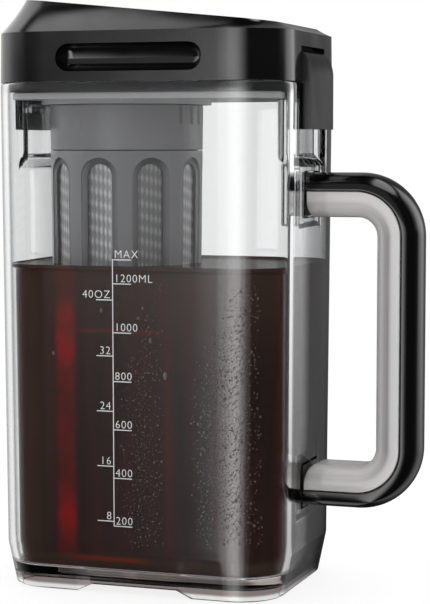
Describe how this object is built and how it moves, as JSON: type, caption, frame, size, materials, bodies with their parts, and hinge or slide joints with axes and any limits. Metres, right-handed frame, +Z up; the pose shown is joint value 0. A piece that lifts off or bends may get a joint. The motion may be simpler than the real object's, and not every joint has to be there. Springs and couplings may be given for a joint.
{
  "type": "cold brew coffee maker",
  "caption": "Clear rectangular brewing jug with a two-tone C handle, a sloped black snap-latch lid with a flip pour cap, and a slotted mesh filter hung from the lid.",
  "frame": {"origin": "on the ground, under the middle of the whole object's box; the jug's own centre line is at x = -0.02165", "axes": "+Z up; +X from the pour spout towards the handle; -Y is the front broad face, which carries the printed volume scale"},
  "size_m": [0.1776, 0.095, 0.2428],
  "materials": {
    "jug_clear_plastic": "clear glossy moulded copolyester",
    "handle_black_plastic": "glossy black",
    "handle_clear_inlay": "frosted clear",
    "lid_black_plastic": "satin black",
    "plug_black_plastic": "satin black",
    "cap_black_plastic": "satin black",
    "latch_black_plastic": "satin black",
    "seal_silicone": "dark silicone",
    "pin_steel": "drawn wire",
    "filter_dark_plastic": "satin dark plastic",
    "mesh_steel": "fine woven steel mesh"
  },
  "bodies": {
    "jug": {"jug_body": "jug_clear_plastic", "handle_shell": "handle_black_plastic", "handle_inlay": "handle_clear_inlay"},
    "lid": {"lid_cover": "lid_black_plastic", "lid_plug": "plug_black_plastic", "lid_gasket": "seal_silicone", "filter_collar_seal": "seal_silicone", "latch_pin_handle_side": "pin_steel", "latch_pin_spout_side": "pin_steel", "spout_cap_pin": "pin_steel"},
    "handle_side_latch": {"latch_handle_side": "latch_black_plastic"},
    "spout_side_latch": {"latch_spout_side": "latch_black_plastic"},
    "pour_cap": {"spout_cap": "cap_black_plastic", "spout_cap_seal": "seal_silicone"},
    "filter": {"filter_collar": "filter_dark_plastic", "filter_cage": "filter_dark_plastic", "filter_mesh": "mesh_steel", "filter_base": "filter_dark_plastic", "filter_base_seal": "seal_silicone"}
  },
  "joints": [
    {"name": "lid_lift", "type": "slide", "parent": "jug", "child": "lid", "axis": [0, 0, 1], "range_m": [0, 0.2]},
    {"name": "latch_handle_side_hinge", "type": "hinge", "parent": "lid", "child": "handle_side_latch", "pos_m": [0.03915, 0, 0.217], "axis": [0, -1, 0], "range_deg": [0, 90]},
    {"name": "latch_spout_side_hinge", "type": "hinge", "parent": "lid", "child": "spout_side_latch", "pos_m": [-0.08245, 0, 0.217], "axis": [0, 1, 0], "range_deg": [0, 90]},
    {"name": "spout_cap_hinge", "type": "hinge", "parent": "lid", "child": "pour_cap", "pos_m": [-0.04734, 0, 0.23815], "axis": [0, 1, 0], "range_deg": [0, 100]},
    {"name": "filter_twist", "type": "hinge", "parent": "lid", "child": "filter", "pos_m": [-0.04005, 0, 0], "axis": [0, 0, 1], "range_deg": [0, 50]}
  ]
}
